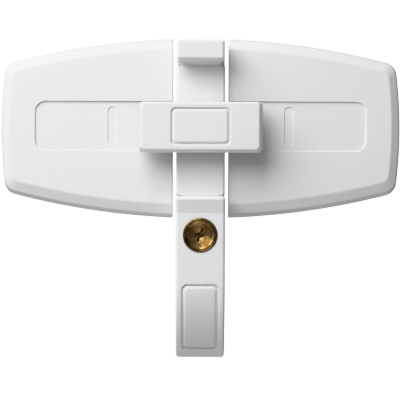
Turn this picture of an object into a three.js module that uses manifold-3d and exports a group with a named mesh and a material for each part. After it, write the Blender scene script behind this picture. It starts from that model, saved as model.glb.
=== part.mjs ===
// Key-locked window lock for two sashes that meet in the middle: a keeper plate on each
// sash, a lock bar on the meeting stile, and a crossbar that turns over both plates.
//
// Millimetres. Pieces are drawn in the wall's own frame: X to the right, Y up, Z out of
// the wall, with the origin on the crossbar's pivot axis at the wall face. "Height" means
// height above the wall. The last lines stand that frame upright: +Z up, front facing -Y.

import * as THREE from 'three';
import { ConvexGeometry } from 'three/addons/geometries/ConvexGeometry.js';
import { mergeVertices } from 'three/addons/utils/BufferGeometryUtils.js';
import Module from 'manifold-3d';

const wasm = await Module();
wasm.setup();

// ---------------------------------------------------------------- driving dimensions

const GAP = 0.3; // between pieces that touch on the real lock
const SHELL = 2; // wall of the moulded covers
const PAST = 1; // how far a cutting tool runs past the face it opens
const JOIN = 0.2; // how far two joined bodies run into each other
const SIDES = [-1, 1]; // left, right

// How finely curves are divided. Each arc of an outline gets twice its number of steps.
const ROUND_STEPS = 24;
const SMALL_ROUND_STEPS = 12;
const CORNER_ARC_STEPS = 2;
const PLATE_ARC_STEPS = 3;
const PROFILE_ARC_STEPS = 4;
const EDGE_STEPS = 1;
const MERGE_DISTANCE = 1e-4;

const PLATE = {
  centreY: 0.35,
  innerEdge: 14,
  outerEdge: 101.2,
  halfHeight: 45.95,
  archRadius: 378,
  sideRadius: 230,
  cornerRadius: 7,
  flatCornerRadius: 4.5,
  faceHeight: 12,
  bevelFoot: 9.8,
  draft: 1.7,
  bevel: 4.86,
  sideBevel: 4.1,
  flatLift: 0.41,
  innerChamfer: 0.6,
  ceiling: 9.4,
};

const RECESS = { y: 0.9, outerEdge: 82.9, halfHeight: 12.45, cornerRadius: 5.3, depth: 0.8 };
const NAME_CAPSULE = { x: 44.2, y: 0.9, halfWidth: 2.3, halfHeight: 9.8, depth: 0.4 };
const PLATE_BASE = { thickness: 2.5, inset: 4, innerEdge: 16.6 };
const PLATE_SCREWS = [[34, 29], [34, -29], [82, 21], [82, -21]];

const BAR = {
  halfWidth: 12.15,
  edgeRadius: 1.2,
  frontHeight: 28.5,
  stripHeight: 16,
  stripWall: 1.8,
  capFoot: 31.1,
  capTop: 44.3,
  housingFoot: -33.9,
  housingBottom: -115.3,
  capDraft: 1.9,
  capRelief: 1.72,
  capReliefHeight: 2.6,
  housingDraft: 0.9,
  chamfer: 0.9,
};

const BAR_BASE = { thickness: 3, halfWidth: 9.8, top: 41.6, bottom: -111.8, cornerRadius: 2 };
const CHANNEL_TONGUE = { halfWidth: 9.85, top: 40.7, bottom: -42 };

const HOUSING = {
  faceHeight: 26.5,
  facetFoot: -42.3,
  curveStart: -77.2,
  curveRadius: 45,
  bossRadius: 10.1,
  bossBack: 17.4,
  screwY: -69,
  screwBossRadius: 3.2,
};

const LOWER_COVER = {
  y: -94.3,
  halfWidth: 7.7,
  halfHeight: 15.5,
  cornerRadius: 2.5,
  grooveWidth: 1.75,
  grooveDepth: 0.9,
  thickness: 0.7,
  plugInset: 2.2,
  plugDepth: 2.6,
};

const CROSSBAR = {
  halfLength: 30.8,
  halfWidth: 12.6,
  cornerRadius: 2.3,
  rimHeight: 19,
  shoulderHeight: 28.5,
  faceHeight: 29.5,
  endDraft: 1.6,
  sideDraft: 0.7,
  edge: 0.9,
  ceiling: 27.5,
};

const CROSSBAR_COVER_PLATE = {
  halfLength: 13.4,
  halfHeight: 8,
  cornerRadius: 2,
  grooveWidth: 1.3,
  grooveDepth: 0.9,
  thickness: 0.7,
  plugInset: 2.2,
  plugDepth: 2,
};

const BEAM = {
  halfLength: 27.3,
  halfWidth: 9,
  cornerRadius: 1.5,
  back: 20,
  front: 23.7,
  clawInner: 25,
  clawHalfWidth: 6,
  clawTip: 16.6,
};

const KEEPER = {
  innerFace: 17.8,
  outerRadius: 24.7,
  halfWidth: 6,
  top: 18.6,
  flangeEnd: 34,
  flangeHalfWidth: 8,
  flangeThickness: 2.5,
  rivetX: 30,
  rivetY: 5,
  rivetHole: 1.5,
  rivetShank: 1.2,
  rivetHead: 2.3,
  rivetHeadHeight: 1.2,
};

const PIVOT = {
  postRadius: 3.5,
  postTop: 18,
  threadRadius: 2.2,
  threadFloor: 9,
  boreRadius: 3.8,
  driveHalf: 5,
  bodyRadius: 6.5,
  flangeRadius: 9.2,
  flangeBack: 11.8,
  flangeFront: 13.9,
  neckRadius: 7.3,
  neckHole: 7.6,
  neckFront: 19.7,
  driveFront: 23.4,
  screwHead: 5,
  screwHeadHeight: 1.9,
};

const DISC = {
  radius: 10,
  back: 3.5,
  front: 5.7,
  notchFloor: 6.5,
  notchHalfWidth: 3.4,
};

const SLIDE = {
  back: 3.3,
  front: 5.7,
  tip: -10.4,
  tipHalfWidth: 3,
  stemHalfWidth: 4,
  headTop: -46,
  headBottom: -60,
  headHalfWidth: 6.2,
  headTaper: 2,
  tipTaper: 1,
  tipReach: 1.5,
  slotClearance: 0.35,
  travel: 3.5,
};

const BRIDGE = {
  y: -29,
  halfHeight: 3,
  legHalfWidth: 6.2,
  footHalfWidth: 9.6,
  top: 7.9,
  footTop: 4.8,
};

const CYLINDER = {
  y: -53.3,
  radius: 8.3,
  rimHeight: 26.9,
  back: 8.6,
  counterRadius: 7.4,
  counterFloor: 23.7,
  boreRadius: 5.5,
  clipGrooveRadius: 7.7,
  clipGrooveBack: 15.3,
  clipGrooveFront: 17.4,
  rimEdge: 0.3,
};

const PLUG = {
  faceRadius: 7.1,
  faceHeight: 26.4,
  dishHeight: 25.1,
  dishRadius: 1,
  flangeBack: 24,
  radius: 5.2,
  back: 8.6,
  tailBack: 7,
  tailHalfWidth: 2.6,
  tailHalfThickness: 0.8,
  keywayBack: 11.4,
};

const WAFER = {
  count: 5,
  pitch: 2.3,
  first: 12.6,
  thickness: 0.6,
  halfWidth: 2.8,
  halfHeight: 4.2,
  cornerRadius: 0.6,
  sideWall: 1,
  endWall: 1.4,
  windowRadius: 0.4,
};
const WAFER_STEPS = [0.5, -0.3, 0.2, -0.5, 0.1]; // how far each wafer's window sits off centre

// The cam pin swings through a quarter turn centred on the level line, so that the slide
// travels twice the pin's throw times the sine of half that turn.
const CAM = { back: 6.1, front: 8.3, radius: 4.6, pinRadius: 1.2, pinBack: 3.6, slotDepth: 1.5 };
const HALF_KEY_TURN = Math.PI / 4;
const CAM_THROW = SLIDE.travel / (2 * Math.sin(HALF_KEY_TURN));

const CLIP = { halfSize: 9.6, thickness: 1.4, slotHalfWidth: 7.95 };

// ---------------------------------------------------------------- materials

function finish(color, roughness, metalness) {
  return new THREE.MeshStandardMaterial({ color, roughness, metalness });
}

const WHITE_PLASTIC = { color: 0xf1f1ef, roughness: 0.5, metalness: 0 };
const WHITE_PAINT = { color: 0xf4f4f2, roughness: 0.4, metalness: 0.1 };
const STEEL = { color: 0xb4b8bb, roughness: 0.38, metalness: 0.9 };
const DARK_STEEL = { color: 0x7d8184, roughness: 0.45, metalness: 0.9 };
const BRASS = { color: 0xb5893a, roughness: 0.3, metalness: 0.95 };

// ---------------------------------------------------------------- solids and outlines

function solidOf(geometry) {
  geometry.deleteAttribute('normal');
  geometry.deleteAttribute('uv');
  const merged = mergeVertices(geometry, MERGE_DISTANCE);
  return new wasm.Manifold(new wasm.Mesh({
    numProp: 3,
    vertProperties: Float32Array.from(merged.attributes.position.array),
    triVerts: Uint32Array.from(merged.index.array),
  }));
}

function geometryOf(solid) {
  const { vertProperties, triVerts } = solid.getMesh();
  const geometry = new THREE.BufferGeometry();
  geometry.setAttribute('position', new THREE.BufferAttribute(vertProperties, 3));
  geometry.setIndex(new THREE.BufferAttribute(triVerts, 1));
  geometry.computeVertexNormals();
  return geometry;
}

// One mesh from a solid, placed in its group.
function piece(name, solid, look, x = 0, y = 0, z = 0) {
  const mesh = new THREE.Mesh(geometryOf(solid), finish(look.color, look.roughness, look.metalness));
  mesh.name = name;
  mesh.position.set(x, y, z);
  return mesh;
}

// An outline in the wall's plane, thickened between two heights.
function slab(outline, from, to, steps = CORNER_ARC_STEPS) {
  const options = { depth: to - from, bevelEnabled: false, curveSegments: steps };
  const geometry = new THREE.ExtrudeGeometry(outline, options);
  geometry.translate(0, 0, from);
  return solidOf(geometry);
}

function block(left, right, bottom, top, from, to) {
  const geometry = new THREE.BoxGeometry(right - left, top - bottom, to - from);
  geometry.translate((left + right) / 2, (bottom + top) / 2, (from + to) / 2);
  return solidOf(geometry);
}

// A round piece about an axis out of the wall, which may taper.
function taper(backRadius, frontRadius, from, to, x = 0, y = 0, steps = ROUND_STEPS) {
  const geometry = new THREE.CylinderGeometry(frontRadius, backRadius, to - from, steps);
  geometry.rotateX(Math.PI / 2);
  geometry.translate(x, y, (from + to) / 2);
  return solidOf(geometry);
}

function disc(radius, from, to, x = 0, y = 0, steps = ROUND_STEPS) {
  return taper(radius, radius, from, to, x, y, steps);
}

// A profile of [radius, height] points turned about an axis out of the wall.
function turned(profile, steps = ROUND_STEPS) {
  const points = profile.map(([radius, height]) => new THREE.Vector2(radius, height));
  const geometry = new THREE.LatheGeometry(points, steps);
  geometry.rotateX(Math.PI / 2);
  return solidOf(geometry);
}

function roundedRectangle(x, y, halfX, halfY, radius) {
  const quarter = Math.PI / 2;
  const shape = new THREE.Shape();
  shape.absarc(x + halfX - radius, y + halfY - radius, radius, 0, quarter);
  shape.absarc(x - halfX + radius, y + halfY - radius, radius, quarter, 2 * quarter);
  shape.absarc(x - halfX + radius, y - halfY + radius, radius, 2 * quarter, 3 * quarter);
  shape.absarc(x + halfX - radius, y - halfY + radius, radius, 3 * quarter, 4 * quarter);
  shape.closePath();
  return shape;
}

// The convex body through outlines stacked as [outline, height].
function stacked(levels, steps = CORNER_ARC_STEPS) {
  const points = levels.flatMap(([outline, height]) => (
    outline.getPoints(steps).map(({ x, y }) => new THREE.Vector3(x, y, height))
  ));
  return solidOf(new ConvexGeometry(points));
}

// A side view drawn as (Y, Z) points, run across the bar with rounded side edges.
const SIDE_VIEW = new THREE.Matrix4().makeBasis(
  new THREE.Vector3(0, 1, 0),
  new THREE.Vector3(0, 0, 1),
  new THREE.Vector3(1, 0, 0),
);

function across(profile, halfWidth, edgeRadius = 0) {
  const straight = halfWidth - edgeRadius;
  const geometry = new THREE.ExtrudeGeometry(profile, {
    depth: 2 * straight,
    curveSegments: PROFILE_ARC_STEPS,
    bevelEnabled: edgeRadius > 0,
    bevelSize: edgeRadius,
    bevelThickness: edgeRadius,
    bevelOffset: -edgeRadius,
    bevelSegments: EDGE_STEPS,
  });
  geometry.translate(0, 0, -straight);
  geometry.applyMatrix4(SIDE_VIEW);
  return solidOf(geometry);
}

function polygon(points) {
  return new THREE.Shape(points.map(([x, y]) => new THREE.Vector2(x, y)));
}

// ---------------------------------------------------------------- fasteners

// A screw with a countersunk head, its head at the front and its point at the back.
function countersunkScrew(headRadius, shankRadius, point, head) {
  const seat = head - (headRadius - shankRadius);
  const shank = disc(shankRadius, point, seat + JOIN, 0, 0, SMALL_ROUND_STEPS);
  const cone = taper(shankRadius, headRadius, seat, head, 0, 0, SMALL_ROUND_STEPS);
  return crossRecess(shank.add(cone), headRadius, head);
}

function panScrew(headRadius, shankRadius, point, seat, head) {
  const shank = disc(shankRadius, point, seat + JOIN, 0, 0, SMALL_ROUND_STEPS);
  const body = taper(headRadius, 0.85 * headRadius, seat, head, 0, 0, SMALL_ROUND_STEPS);
  return crossRecess(shank.add(body), headRadius, head);
}

function crossRecess(screw, headRadius, head) {
  const reach = 0.6 * headRadius;
  const halfSlot = 0.12 * headRadius;
  const floor = head - 0.35 * headRadius;
  return screw
    .subtract(block(-reach, reach, -halfSlot, halfSlot, floor, head + PAST))
    .subtract(block(-halfSlot, halfSlot, -reach, reach, floor, head + PAST));
}

function countersunkHole(headRadius, shankRadius, head, x, y) {
  const cone = taper(0, headRadius + PAST, head - headRadius, head + PAST, x, y, SMALL_ROUND_STEPS);
  return cone.add(disc(shankRadius, -PAST, head + PAST, x, y, SMALL_ROUND_STEPS));
}

const PLATE_SCREW = { head: 4, shank: 2.1, hole: 2.6 };
const MOUNT_SCREW = { head: 3.9, shank: 2.1, hole: 2.5, seat: BAR_BASE.thickness + GAP, top: 5.6 };

// ---------------------------------------------------------------- keeper plates

function upperMeeting(centreA, radiusA, centreB, radiusB) {
  const between = new THREE.Vector2().subVectors(centreB, centreA);
  const distance = between.length();
  const along = (distance ** 2 + radiusA ** 2 - radiusB ** 2) / (2 * distance);
  const off = Math.sqrt(radiusA ** 2 - along ** 2);
  between.normalize();
  return new THREE.Vector2(
    centreA.x + along * between.x - off * between.y,
    centreA.y + along * between.y + off * between.x,
  );
}

// The right plate's outline, drawn in by an inset: arched top and bottom edges, a slightly
// bulging outer edge and rounded outer corners. A lift moves it up from the plate's centre.
function plateOutline(inset, sideInset, innerEdge, cornerRadius, lift = 0) {
  const { halfHeight, outerEdge } = PLATE;
  const centreY = PLATE.centreY + lift;
  const archRadius = PLATE.archRadius - inset;
  const sideRadius = PLATE.sideRadius - sideInset;
  const drop = PLATE.archRadius - halfHeight;
  const archCentre = new THREE.Vector2(0, -drop);
  const sideCentre = new THREE.Vector2(outerEdge - PLATE.sideRadius, 0);
  const corner = upperMeeting(sideCentre, sideRadius - cornerRadius, archCentre, archRadius - cornerRadius);
  const start = Math.acos(innerEdge / archRadius);
  const archEnd = Math.atan2(corner.y - archCentre.y, corner.x);
  const sideEnd = Math.atan2(corner.y, corner.x - sideCentre.x);
  const shape = new THREE.Shape();
  shape.absarc(0, centreY - drop, archRadius, start, archEnd, true);
  shape.absarc(corner.x, centreY + corner.y, cornerRadius, archEnd, sideEnd, true);
  shape.absarc(sideCentre.x, centreY, sideRadius, sideEnd, -sideEnd, true);
  shape.absarc(corner.x, centreY - corner.y, cornerRadius, -sideEnd, -archEnd, true);
  shape.absarc(0, centreY + drop, archRadius, -archEnd, -start, true);
  shape.closePath();
  return shape;
}

function plateShell(wall, faceHeight, back) {
  const { draft, bevel, sideBevel, innerEdge, innerChamfer } = PLATE;
  const { cornerRadius, flatCornerRadius, flatLift } = PLATE;
  const foot = faceHeight - (PLATE.faceHeight - PLATE.bevelFoot);
  const inner = innerEdge + wall;
  const footInset = wall + draft;
  const flatInset = footInset + bevel;
  const flatSideInset = footInset + sideBevel;
  const middleCorner = (cornerRadius + flatCornerRadius) / 2;
  const flat = (edge) => plateOutline(flatInset, flatSideInset, edge, flatCornerRadius, flatLift);
  return stacked([
    [plateOutline(wall, wall, inner, cornerRadius), back],
    [plateOutline(footInset, footInset, inner, middleCorner), foot],
    [flat(inner), faceHeight - innerChamfer],
    [flat(inner + innerChamfer), faceHeight],
  ], PLATE_ARC_STEPS);
}

function plateCover() {
  const floor = PLATE.faceHeight - RECESS.depth;
  const recess = roundedRectangle(0, RECESS.y, RECESS.outerEdge, RECESS.halfHeight, RECESS.cornerRadius);
  const { x, y, halfWidth, halfHeight, depth } = NAME_CAPSULE;
  const capsule = roundedRectangle(x, y, halfWidth, halfHeight, halfWidth);
  const left = KEEPER.innerFace - GAP;
  const right = KEEPER.outerRadius + GAP;
  const reach = KEEPER.halfWidth + GAP;
  return plateShell(0, PLATE.faceHeight, 0)
    .subtract(plateShell(SHELL, PLATE.ceiling, -PAST))
    .subtract(slab(recess, floor, PLATE.faceHeight + PAST))
    .subtract(slab(capsule, floor - depth, PLATE.faceHeight + PAST))
    .subtract(block(left, right, -reach, reach, 0, PLATE.faceHeight + PAST));
}

function plateBase() {
  const { inset, innerEdge, thickness } = PLATE_BASE;
  const outline = plateOutline(inset, inset, innerEdge, PLATE.cornerRadius - inset / 2);
  let plate = slab(outline, 0, thickness, PLATE_ARC_STEPS);
  for (const [x, y] of PLATE_SCREWS) {
    const hole = countersunkHole(PLATE_SCREW.head + GAP, PLATE_SCREW.hole, thickness, x, PLATE.centreY + y);
    plate = plate.subtract(hole);
  }
  for (const side of SIDES) {
    const y = side * KEEPER.rivetY;
    const hole = disc(KEEPER.rivetHole, -PAST, thickness + PAST, KEEPER.rivetX, y, SMALL_ROUND_STEPS);
    plate = plate.subtract(hole);
  }
  return plate;
}

// The steel block that the crossbar's claw reaches behind, with a riveted foot.
function keeper() {
  const { innerFace, outerRadius, halfWidth, top, flangeEnd, flangeHalfWidth, flangeThickness } = KEEPER;
  const back = PLATE_BASE.thickness + GAP;
  const angle = Math.asin(halfWidth / outerRadius);
  const outline = new THREE.Shape();
  outline.moveTo(innerFace, -halfWidth);
  outline.absarc(0, 0, outerRadius, -angle, angle);
  outline.lineTo(innerFace, halfWidth);
  const flangeTop = back + flangeThickness;
  let body = slab(outline, back, top)
    .add(block(innerFace, flangeEnd, -flangeHalfWidth, flangeHalfWidth, back, flangeTop));
  for (const side of SIDES) {
    const y = side * KEEPER.rivetY;
    body = body.subtract(disc(KEEPER.rivetHole, 0, top, KEEPER.rivetX, y, SMALL_ROUND_STEPS));
  }
  return body;
}

function keeperRivet() {
  const { flangeThickness, rivetShank, rivetHead, rivetHeadHeight } = KEEPER;
  const seat = PLATE_BASE.thickness + flangeThickness + 2 * GAP;
  const shank = disc(rivetShank, GAP, seat + JOIN, 0, 0, SMALL_ROUND_STEPS);
  return shank.add(taper(rivetHead, rivetShank, seat, seat + rivetHeadHeight, 0, 0, SMALL_ROUND_STEPS));
}

// One sash's plate. The left one is the right one mirrored.
function platePieces(sideName, side) {
  const mirrored = (solid) => (side < 0 ? solid.mirror([1, 0, 0]) : solid);
  const group = new THREE.Group();
  group.add(piece(`${sideName}_plate_cover`, mirrored(plateCover()), WHITE_PLASTIC));
  group.add(piece(`${sideName}_plate_base`, mirrored(plateBase()), STEEL));
  group.add(piece(`${sideName}_keeper`, mirrored(keeper()), STEEL));
  const screw = countersunkScrew(PLATE_SCREW.head, PLATE_SCREW.shank, 0.1, PLATE_BASE.thickness);
  PLATE_SCREWS.forEach(([x, y], index) => {
    const name = `${sideName}_plate_screw_${index + 1}`;
    group.add(piece(name, screw, DARK_STEEL, side * x, PLATE.centreY + y));
  });
  SIDES.forEach((end, index) => {
    const name = `${sideName}_keeper_rivet_${index + 1}`;
    group.add(piece(name, keeperRivet(), DARK_STEEL, side * KEEPER.rivetX, end * KEEPER.rivetY));
  });
  return group;
}

// ---------------------------------------------------------------- lock bar

const TOP_SCREW_Y = 38;
const LOWER_SCREW_YS = [-86, -102];

function barBase() {
  const { thickness, halfWidth, top, bottom, cornerRadius } = BAR_BASE;
  const outline = roundedRectangle(0, (top + bottom) / 2, halfWidth, (top - bottom) / 2, cornerRadius);
  let base = slab(outline, 0, thickness);
  for (const y of [TOP_SCREW_Y, ...LOWER_SCREW_YS]) {
    base = base.subtract(disc(MOUNT_SCREW.hole, -PAST, thickness + PAST, 0, y, SMALL_ROUND_STEPS));
  }
  const { hole, head, seat } = HOUSING_SCREW;
  base = base
    .subtract(disc(hole, -PAST, thickness + PAST, 0, HOUSING.screwY, SMALL_ROUND_STEPS))
    .subtract(disc(head + GAP, -PAST, seat, 0, HOUSING.screwY, SMALL_ROUND_STEPS));
  for (const side of SIDES) {
    const x = side * BRIDGE_SCREW.x;
    base = base.subtract(disc(BRIDGE_SCREW.hole, GAP, thickness + PAST, x, BRIDGE.y, SMALL_ROUND_STEPS));
  }
  return base;
}

// The U-section strip that the crossbar swings over. Its ends narrow to tongues that run
// in under the cap and the housing.
function barChannel() {
  const { halfWidth, stripHeight, stripWall, capFoot, housingFoot } = BAR;
  const { top, bottom } = CHANNEL_TONGUE;
  const tongue = CHANNEL_TONGUE.halfWidth;
  const tongueBack = BAR_BASE.thickness + GAP;
  const upper = capFoot - GAP;
  const lower = housingFoot + GAP;
  const ceiling = stripHeight - stripWall;
  const outside = polygon([[lower, 0], [upper, 0], [upper, stripHeight], [lower, stripHeight]]);
  const inside = halfWidth - stripWall;
  const tongueInside = tongue - stripWall;
  return across(outside, halfWidth, BAR.edgeRadius)
    .add(block(-tongue, tongue, bottom, top, tongueBack, stripHeight))
    .subtract(block(-inside, inside, lower - PAST, upper + PAST, -PAST, ceiling))
    .subtract(block(-tongueInside, tongueInside, bottom - PAST, top + PAST, 0, ceiling))
    .subtract(disc(PIVOT.neckHole, ceiling - PAST, stripHeight + PAST))
    .subtract(disc(MOUNT_SCREW.head + 2 * GAP, ceiling - PAST, stripHeight + PAST, 0, TOP_SCREW_Y));
}

// Side view of the cap: a lower wall cut back to let the crossbar's corners swing past, and a
// drafted top wall.
function capProfile(wall) {
  const front = BAR.frontHeight - wall;
  const back = wall > 0 ? -PAST : 0;
  const foot = BAR.capFoot + wall;
  const top = BAR.capTop - wall;
  const { capDraft, capRelief, capReliefHeight, chamfer } = BAR;
  return polygon([
    [foot, back],
    [foot, BAR.stripHeight],
    [foot + capRelief, BAR.stripHeight + capReliefHeight],
    [foot + capDraft, front - chamfer],
    [foot + capDraft + chamfer, front],
    [top - capDraft - chamfer, front],
    [top - capDraft, front - chamfer],
    [top, back],
  ]);
}

function topCap() {
  const inside = BAR.halfWidth - SHELL;
  const ceiling = BAR.stripHeight + GAP;
  return across(capProfile(0), BAR.halfWidth, BAR.edgeRadius)
    .subtract(across(capProfile(SHELL), inside))
    .subtract(block(-inside, inside, BAR.capFoot - PAST, BAR.capFoot + 2 * SHELL, -PAST, ceiling));
}

// Side view of the lock housing, drawn in by an inset: a raised ridge at the top, a flat
// face for the key cylinder, and a front that curves back to the wall at the bottom.
function housingProfile(inset) {
  const { faceHeight, facetFoot, curveStart, curveRadius } = HOUSING;
  const foot = BAR.housingFoot - inset;
  const ridge = foot - BAR.housingDraft;
  const back = inset > 0 ? -PAST : 0;
  const bottom = BAR.housingBottom + inset;
  const radius = curveRadius - inset;
  const sweep = Math.asin((curveStart - bottom) / radius);
  const profile = new THREE.Shape();
  profile.moveTo(foot, back);
  profile.lineTo(foot, BAR.stripHeight);
  profile.lineTo(ridge, BAR.frontHeight - inset - BAR.chamfer);
  profile.lineTo(ridge - BAR.chamfer, BAR.frontHeight - inset);
  profile.lineTo(facetFoot, faceHeight - inset);
  profile.lineTo(curveStart, faceHeight - inset);
  profile.absarc(curveStart, faceHeight - curveRadius, radius, Math.PI / 2, Math.PI / 2 + sweep);
  profile.lineTo(bottom, back);
  profile.closePath();
  return profile;
}

const HOUSING_SCREW = { head: 2.9, shank: 1.3, hole: 1.7, seat: 1.6, tip: 14 };

function lockHousing() {
  const inside = BAR.halfWidth - SHELL;
  const { y, halfWidth, halfHeight, cornerRadius, grooveWidth, grooveDepth, plugInset } = LOWER_COVER;
  const reachFront = BAR.frontHeight + PAST;
  const ceiling = BAR.stripHeight + GAP;
  const pocketOutline = roundedRectangle(
    0, y, halfWidth + grooveWidth, halfHeight + grooveWidth, cornerRadius + grooveWidth / 2,
  );
  const pocketFloor = across(housingProfile(grooveDepth), BAR.halfWidth);
  const pocket = slab(pocketOutline, 0, reachFront).subtract(pocketFloor);
  const opening = roundedRectangle(
    0, y, halfWidth - plugInset + GAP, halfHeight - plugInset + GAP, cornerRadius - 1,
  );
  const boss = disc(HOUSING.bossRadius, HOUSING.bossBack, HOUSING.faceHeight - PAST, 0, CYLINDER.y);
  const screwBoss = disc(
    HOUSING.screwBossRadius, BAR_BASE.thickness + GAP, HOUSING.faceHeight - PAST, 0, HOUSING.screwY,
  );
  return across(housingProfile(0), BAR.halfWidth, BAR.edgeRadius)
    .subtract(across(housingProfile(SHELL), inside))
    .subtract(block(-inside, inside, BAR.housingFoot - 2 * SHELL, BAR.housingFoot + PAST, -PAST, ceiling))
    .add(boss)
    .add(screwBoss)
    .subtract(pocket)
    .subtract(slab(opening, 0, reachFront))
    .subtract(disc(CYLINDER.radius + GAP, 0, reachFront, 0, CYLINDER.y))
    .subtract(disc(HOUSING_SCREW.hole, 0, HOUSING_SCREW.tip + PAST, 0, HOUSING.screwY, SMALL_ROUND_STEPS));
}

// The blank that hides the lower mounting screws, curved like the housing's front.
function lowerScrewCover() {
  const { y, halfWidth, halfHeight, cornerRadius, thickness, plugInset, plugDepth } = LOWER_COVER;
  const reachFront = BAR.frontHeight;
  const face = slab(roundedRectangle(0, y, halfWidth, halfHeight, cornerRadius), 0, reachFront)
    .intersect(across(housingProfile(0), BAR.halfWidth))
    .subtract(across(housingProfile(thickness), BAR.halfWidth));
  const plugOutline = roundedRectangle(
    0, y, halfWidth - plugInset, halfHeight - plugInset, cornerRadius - 1,
  );
  const plug = slab(plugOutline, 0, reachFront)
    .intersect(across(housingProfile(thickness / 2), BAR.halfWidth))
    .subtract(across(housingProfile(plugDepth), BAR.halfWidth));
  return face.add(plug);
}

function housingScrew() {
  const { head, shank, seat, tip } = HOUSING_SCREW;
  const body = disc(head, GAP, seat - GAP, 0, 0, SMALL_ROUND_STEPS);
  return body.add(disc(shank, seat - GAP - JOIN, tip, 0, 0, SMALL_ROUND_STEPS));
}

function barPieces() {
  const group = new THREE.Group();
  group.add(piece('bar_base', barBase(), STEEL));
  group.add(piece('bar_channel', barChannel(), WHITE_PAINT));
  group.add(piece('top_cap', topCap(), WHITE_PLASTIC));
  group.add(piece('lock_housing', lockHousing(), WHITE_PAINT));
  group.add(piece('lower_screw_cover', lowerScrewCover(), WHITE_PLASTIC));
  group.add(piece('housing_screw', housingScrew(), DARK_STEEL, 0, HOUSING.screwY));
  const mountScrew = panScrew(MOUNT_SCREW.head, MOUNT_SCREW.shank, 0.1, MOUNT_SCREW.seat, MOUNT_SCREW.top);
  group.add(piece('top_mount_screw', mountScrew, DARK_STEEL, 0, TOP_SCREW_Y));
  LOWER_SCREW_YS.forEach((y, index) => {
    group.add(piece(`lower_mount_screw_${index + 1}`, mountScrew, DARK_STEEL, 0, y));
  });
  return group;
}

// ---------------------------------------------------------------- pivot and crossbar

function pivotPost() {
  const { postRadius, postTop, threadRadius, threadFloor } = PIVOT;
  return disc(postRadius, BAR_BASE.thickness + GAP, postTop)
    .subtract(disc(threadRadius, threadFloor, postTop + PAST));
}

// The turning hub: a square foot for the index disc, a flange behind the strip, a round
// neck through it and a square nose for the beam.
function pivotHub() {
  const { driveHalf, bodyRadius, flangeRadius, flangeBack, flangeFront } = PIVOT;
  const { neckRadius, neckFront, driveFront, boreRadius, postTop, threadRadius } = PIVOT;
  return block(-driveHalf, driveHalf, -driveHalf, driveHalf, DISC.back, DISC.front + 2 * GAP)
    .add(disc(bodyRadius, DISC.front + GAP, flangeBack + JOIN))
    .add(disc(flangeRadius, flangeBack, flangeFront))
    .add(disc(neckRadius, flangeFront - JOIN, neckFront))
    .add(block(-driveHalf, driveHalf, -driveHalf, driveHalf, neckFront - JOIN, driveFront))
    .subtract(disc(boreRadius, 0, postTop + GAP))
    .subtract(disc(threadRadius + GAP, postTop, driveFront + PAST));
}

function squareHole(from, to) {
  const reach = PIVOT.driveHalf + GAP;
  return block(-reach, reach, -reach, reach, from, to);
}

// Turns with the hub. The lock slide enters a notch when the crossbar lies level, and the
// other when it stands upright.
function indexDisc() {
  const { radius, back, front, notchFloor, notchHalfWidth } = DISC;
  return disc(radius, back, front)
    .subtract(squareHole(0, front + PAST))
    .subtract(block(-notchHalfWidth, notchHalfWidth, -radius - PAST, -notchFloor, 0, front + PAST))
    .subtract(block(notchFloor, radius + PAST, -notchHalfWidth, notchHalfWidth, 0, front + PAST));
}

// The steel bar inside the crossbar, with a claw at each end that runs on an arc about
// the pivot, so that it passes behind the keeper as the crossbar turns.
function crossbarBeam() {
  const { halfLength, halfWidth, cornerRadius, back, front, clawInner, clawHalfWidth, clawTip } = BEAM;
  let beam = slab(roundedRectangle(0, 0, halfLength, halfWidth, cornerRadius), back, front);
  const outerAngle = Math.asin(clawHalfWidth / halfLength);
  const innerAngle = Math.asin(clawHalfWidth / clawInner);
  const claw = new THREE.Shape();
  claw.absarc(0, 0, halfLength, -outerAngle, outerAngle);
  claw.absarc(0, 0, clawInner, innerAngle, -innerAngle, true);
  claw.closePath();
  const rightClaw = slab(claw, clawTip, front - 0.5);
  beam = beam.add(rightClaw).add(rightClaw.mirror([1, 0, 0]));
  for (const side of SIDES) {
    beam = beam.subtract(taper(
      COVER_SCREW.head + 2 * GAP, 0, back - GAP, back + COVER_SCREW.head + GAP,
      side * COVER_SCREW.x, 0, SMALL_ROUND_STEPS,
    ));
    beam = beam.subtract(disc(
      COVER_SCREW.shank + GAP, back - PAST, front + PAST, side * COVER_SCREW.x, 0, SMALL_ROUND_STEPS,
    ));
  }
  return beam.subtract(squareHole(back - PAST, front + PAST));
}

const COVER_SCREW = { x: 19.5, head: 2.6, shank: 1.2, bossRadius: 2.7, tip: 26.6 };

function crossbarShell(wall, faceHeight, back) {
  const { halfLength, halfWidth, cornerRadius, endDraft, sideDraft, edge } = CROSSBAR;
  const shoulder = faceHeight - (CROSSBAR.faceHeight - CROSSBAR.shoulderHeight);
  const length = halfLength - wall;
  const width = halfWidth - wall;
  const radius = cornerRadius - wall / 2;
  return stacked([
    [roundedRectangle(0, 0, length, width, radius), back],
    [roundedRectangle(0, 0, length - endDraft, width - sideDraft, radius), shoulder],
    [roundedRectangle(0, 0, length - endDraft - edge, width - sideDraft - edge, 0.8 * radius), faceHeight],
  ]);
}

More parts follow.
